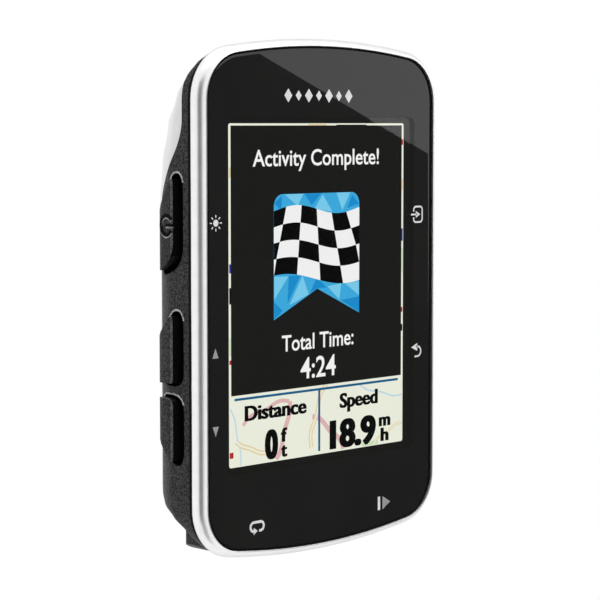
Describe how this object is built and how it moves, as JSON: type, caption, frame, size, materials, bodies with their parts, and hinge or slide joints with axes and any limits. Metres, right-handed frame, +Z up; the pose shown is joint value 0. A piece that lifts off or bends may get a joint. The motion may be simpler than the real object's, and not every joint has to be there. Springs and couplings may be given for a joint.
{
  "type": "cycling computer",
  "caption": "Handlebar cycling computer with a portrait colour display, sealed buttons round its edge and a quarter-turn mount on its back.",
  "frame": {"origin": "centre of the quarter-turn mount's flat rear face", "axes": "+Z up along the display's height, +Y out of the back towards the handlebar bracket, +X to the right as the rider sees it, display facing -Y"},
  "size_m": [0.0492, 0.0212, 0.0716],
  "materials": {
    "ring_white": "satin",
    "dark_glass": "gloss",
    "screen": "satin",
    "case_black": "fine grain",
    "cover_white": "satin",
    "button_black": "fine grain",
    "mount_black": "moulded",
    "white_plastic": "moulded",
    "rubber": "matte",
    "foam": "matte",
    "steel": "plain",
    "flex_film": "satin",
    "board_green": "solder mask",
    "ceramic": "fired",
    "foil": "laminate",
    "wire_red": "extruded",
    "wire_black": "extruded"
  },
  "bodies": {
    "case": {"bezel_ring": "ring_white", "cover_glass": "dark_glass", "glass_adhesive": "foam", "lcd_panel": "screen", "backlight_unit": "white_plastic", "display_tray": "white_plastic", "display_flex": "flex_film", "middle_frame": "case_black", "rear_cover": "cover_white", "case_seal": "rubber", "quarter_turn_mount": "mount_black", "usb_socket": "steel", "usb_flap_anchor": "rubber", "vent_membrane": "foam", "main_board": "board_green", "shield_can": "steel", "buzzer": "case_black", "gps_antenna": "ceramic", "pressure_sensor": "steel", "battery_cell": "foil", "battery_pad": "foam", "battery_connector": "white_plastic", "battery_lead_red": "wire_red", "battery_lead_black": "wire_black", "case_screw_1": "steel", "case_screw_2": "steel", "case_screw_3": "steel", "case_screw_4": "steel", "mount_screw_1": "steel", "mount_screw_2": "steel", "power_boot": "rubber", "power_switch": "case_black", "up_boot": "rubber", "up_switch": "case_black", "down_boot": "rubber", "down_switch": "case_black", "enter_boot": "rubber", "enter_switch": "case_black", "back_boot": "rubber", "back_switch": "case_black", "lap_boot": "rubber", "lap_switch": "case_black", "start_boot": "rubber", "start_switch": "case_black"},
    "power_key": {"power_button": "button_black", "power_switch_plunger": "white_plastic"},
    "up_key": {"up_button": "button_black", "up_switch_plunger": "white_plastic"},
    "down_key": {"down_button": "button_black", "down_switch_plunger": "white_plastic"},
    "enter_key": {"enter_button": "button_black", "enter_switch_plunger": "white_plastic"},
    "back_key": {"back_button": "button_black", "back_switch_plunger": "white_plastic"},
    "lap_key": {"lap_button": "button_black", "lap_switch_plunger": "white_plastic"},
    "start_key": {"start_button": "button_black", "start_switch_plunger": "white_plastic"},
    "port_flap": {"usb_flap": "rubber"}
  },
  "joints": [
    {"name": "power_press", "type": "slide", "parent": "case", "child": "power_key", "axis": [1, 0, 0], "range_m": [0, 0.0004], "stiffness_N_per_m": 4000, "springref_m": -0.0001},
    {"name": "up_press", "type": "slide", "parent": "case", "child": "up_key", "axis": [1, 0, 0], "range_m": [0, 0.0004], "stiffness_N_per_m": 4000, "springref_m": -0.0001},
    {"name": "down_press", "type": "slide", "parent": "case", "child": "down_key", "axis": [1, 0, 0], "range_m": [0, 0.0004], "stiffness_N_per_m": 4000, "springref_m": -0.0001},
    {"name": "enter_press", "type": "slide", "parent": "case", "child": "enter_key", "axis": [-1, 0, 0], "range_m": [0, 0.0004], "stiffness_N_per_m": 4000, "springref_m": -0.0001},
    {"name": "back_press", "type": "slide", "parent": "case", "child": "back_key", "axis": [-1, 0, 0], "range_m": [0, 0.0004], "stiffness_N_per_m": 4000, "springref_m": -0.0001},
    {"name": "lap_press", "type": "slide", "parent": "case", "child": "lap_key", "axis": [0, 0, 1], "range_m": [0, 0.0004], "stiffness_N_per_m": 4000, "springref_m": -0.0001},
    {"name": "start_press", "type": "slide", "parent": "case", "child": "start_key", "axis": [0, 0, 1], "range_m": [0, 0.0004], "stiffness_N_per_m": 4000, "springref_m": -0.0001},
    {"name": "usb_flap_hinge", "type": "hinge", "parent": "case", "child": "port_flap", "pos_m": [0, -0.005, -0.0171], "axis": [1, 0, 0], "range_deg": [0, 100]}
  ]
}
